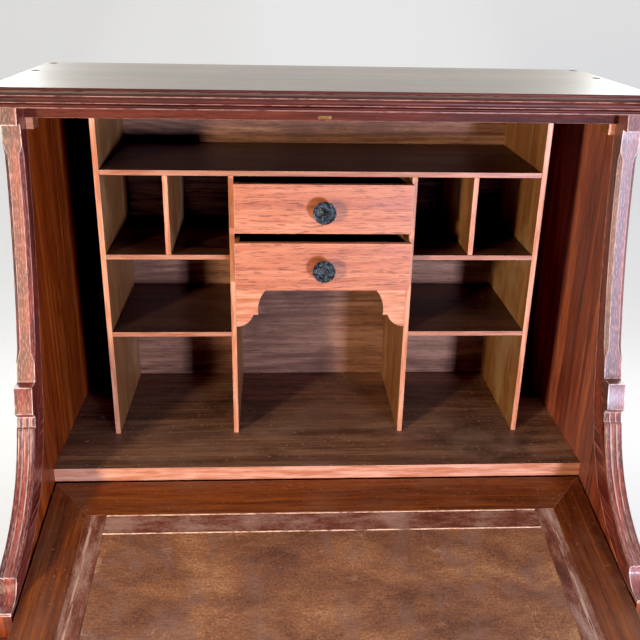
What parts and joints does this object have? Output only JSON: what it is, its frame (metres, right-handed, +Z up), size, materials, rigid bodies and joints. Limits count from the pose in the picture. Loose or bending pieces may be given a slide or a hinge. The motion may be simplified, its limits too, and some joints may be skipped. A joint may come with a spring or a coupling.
{
  "type": "fall-front secretary desk",
  "caption": "Fall-front secretary desk: moulded top, carved side arms, pigeonholes with small drawers, sloping drop-down writing surface, and long drawers below.",
  "frame": {"origin": "on the floor under the middle of the desk's bounding box, the fall open", "axes": "+Z up, -Y towards the user, +X to the user's right"},
  "size_m": [0.8222, 0.8258, 1.278],
  "materials": {
    "mahogany": "glossy reddish-brown mahogany, french polished",
    "carved_mahogany": "carved and reeded mahogany, worn polish",
    "dark_interior_wood": "dark brown, dusty and scuffed",
    "pale_interior_wood": "golden-brown, satin, pale worn edges",
    "fall_frame": "orange-brown varnished mahogany, mitred frame",
    "leather_border": "worn reddish leather band with rubbed edges",
    "leather_panel": "worn mottled brown leather",
    "small_drawer_fronts": "pinkish-orange mahogany, satin",
    "long_drawer_fronts": "glossy reddish-brown mahogany",
    "drawer_boxes": "plain secondary wood, unpolished",
    "black_iron": "hammered black iron",
    "brass": "aged brass"
  },
  "bodies": {
    "case": {"side_board_left": "mahogany", "side_board_right": "mahogany", "carved_stile_left": "carved_mahogany", "carved_stile_right": "carved_mahogany", "case_stile_left": "carved_mahogany", "case_stile_right": "carved_mahogany", "top_board": "mahogany", "cornice_moulding": "carved_mahogany", "header_rail": "mahogany", "lock_keeper": "brass", "fall_stop_blocks": "pale_interior_wood", "pivot_bushes": "brass", "deck_board": "dark_interior_wood", "hinge_rail": "mahogany", "upper_back_panel": "dark_interior_wood", "lower_back_panel": "dark_interior_wood", "ledge_board": "mahogany", "case_top_rail": "mahogany", "waist_moulding": "carved_mahogany", "case_rails": "mahogany", "drawer_runners": "pale_interior_wood", "case_bottom_board": "dark_interior_wood", "shaped_apron": "mahogany", "unit_side_left": "pale_interior_wood", "unit_side_right": "pale_interior_wood", "unit_back": "pale_interior_wood", "unit_top_shelf": "dark_interior_wood", "unit_mid_shelves": "dark_interior_wood", "unit_low_shelves": "dark_interior_wood", "unit_divider_left": "pale_interior_wood", "unit_divider_right": "pale_interior_wood", "unit_small_dividers": "pale_interior_wood", "unit_drawer_shelves": "pale_interior_wood", "valance_brackets": "pale_interior_wood"},
    "fall": {"fall_stile_left": "fall_frame", "fall_stile_right": "fall_frame", "fall_rail_rear": "fall_frame", "fall_rail_front": "fall_frame", "fall_core_panel": "fall_frame", "fall_border": "leather_border", "fall_writing_panel": "leather_panel", "pivot_pins": "brass", "lock_case": "brass", "lock_escutcheon": "brass"},
    "lock_bolt": {"lock_bolt": "brass"},
    "upper_drawer": {"upper_drawer_front": "small_drawer_fronts", "upper_drawer_box": "drawer_boxes", "upper_drawer_knob": "black_iron"},
    "lower_drawer": {"lower_drawer_front": "small_drawer_fronts", "lower_drawer_box": "drawer_boxes", "lower_drawer_knob": "black_iron"},
    "long_drawer_1": {"long_drawer_1_front": "long_drawer_fronts", "long_drawer_1_box": "drawer_boxes", "long_drawer_1_knobs": "black_iron"},
    "long_drawer_2": {"long_drawer_2_front": "long_drawer_fronts", "long_drawer_2_box": "drawer_boxes", "long_drawer_2_knobs": "black_iron"},
    "long_drawer_3": {"long_drawer_3_front": "long_drawer_fronts", "long_drawer_3_box": "drawer_boxes", "long_drawer_3_knobs": "black_iron"}
  },
  "joints": [
    {"name": "fall_hinge", "type": "hinge", "parent": "case", "child": "fall", "pos_m": [0, 0.08324, 0.73791], "axis": [-1, 0, 0], "range_deg": [0, 107.1]},
    {"name": "lock_bolt_slide", "type": "slide", "parent": "fall", "child": "lock_bolt", "axis": [0, -0.9851, -0.1719], "range_m": [0, 0.01]},
    {"name": "upper_drawer_slide", "type": "slide", "parent": "case", "child": "upper_drawer", "axis": [0, 1, 0], "range_m": [-0.12, 0.0245]},
    {"name": "lower_drawer_slide", "type": "slide", "parent": "case", "child": "lower_drawer", "axis": [0, 1, 0], "range_m": [-0.12, 0.034]},
    {"name": "long_drawer_1_slide", "type": "slide", "parent": "case", "child": "long_drawer_1", "axis": [0, -1, 0], "range_m": [0, 0.3]},
    {"name": "long_drawer_2_slide", "type": "slide", "parent": "case", "child": "long_drawer_2", "axis": [0, -1, 0], "range_m": [0, 0.3]},
    {"name": "long_drawer_3_slide", "type": "slide", "parent": "case", "child": "long_drawer_3", "axis": [0, -1, 0], "range_m": [0, 0.3]}
  ]
}
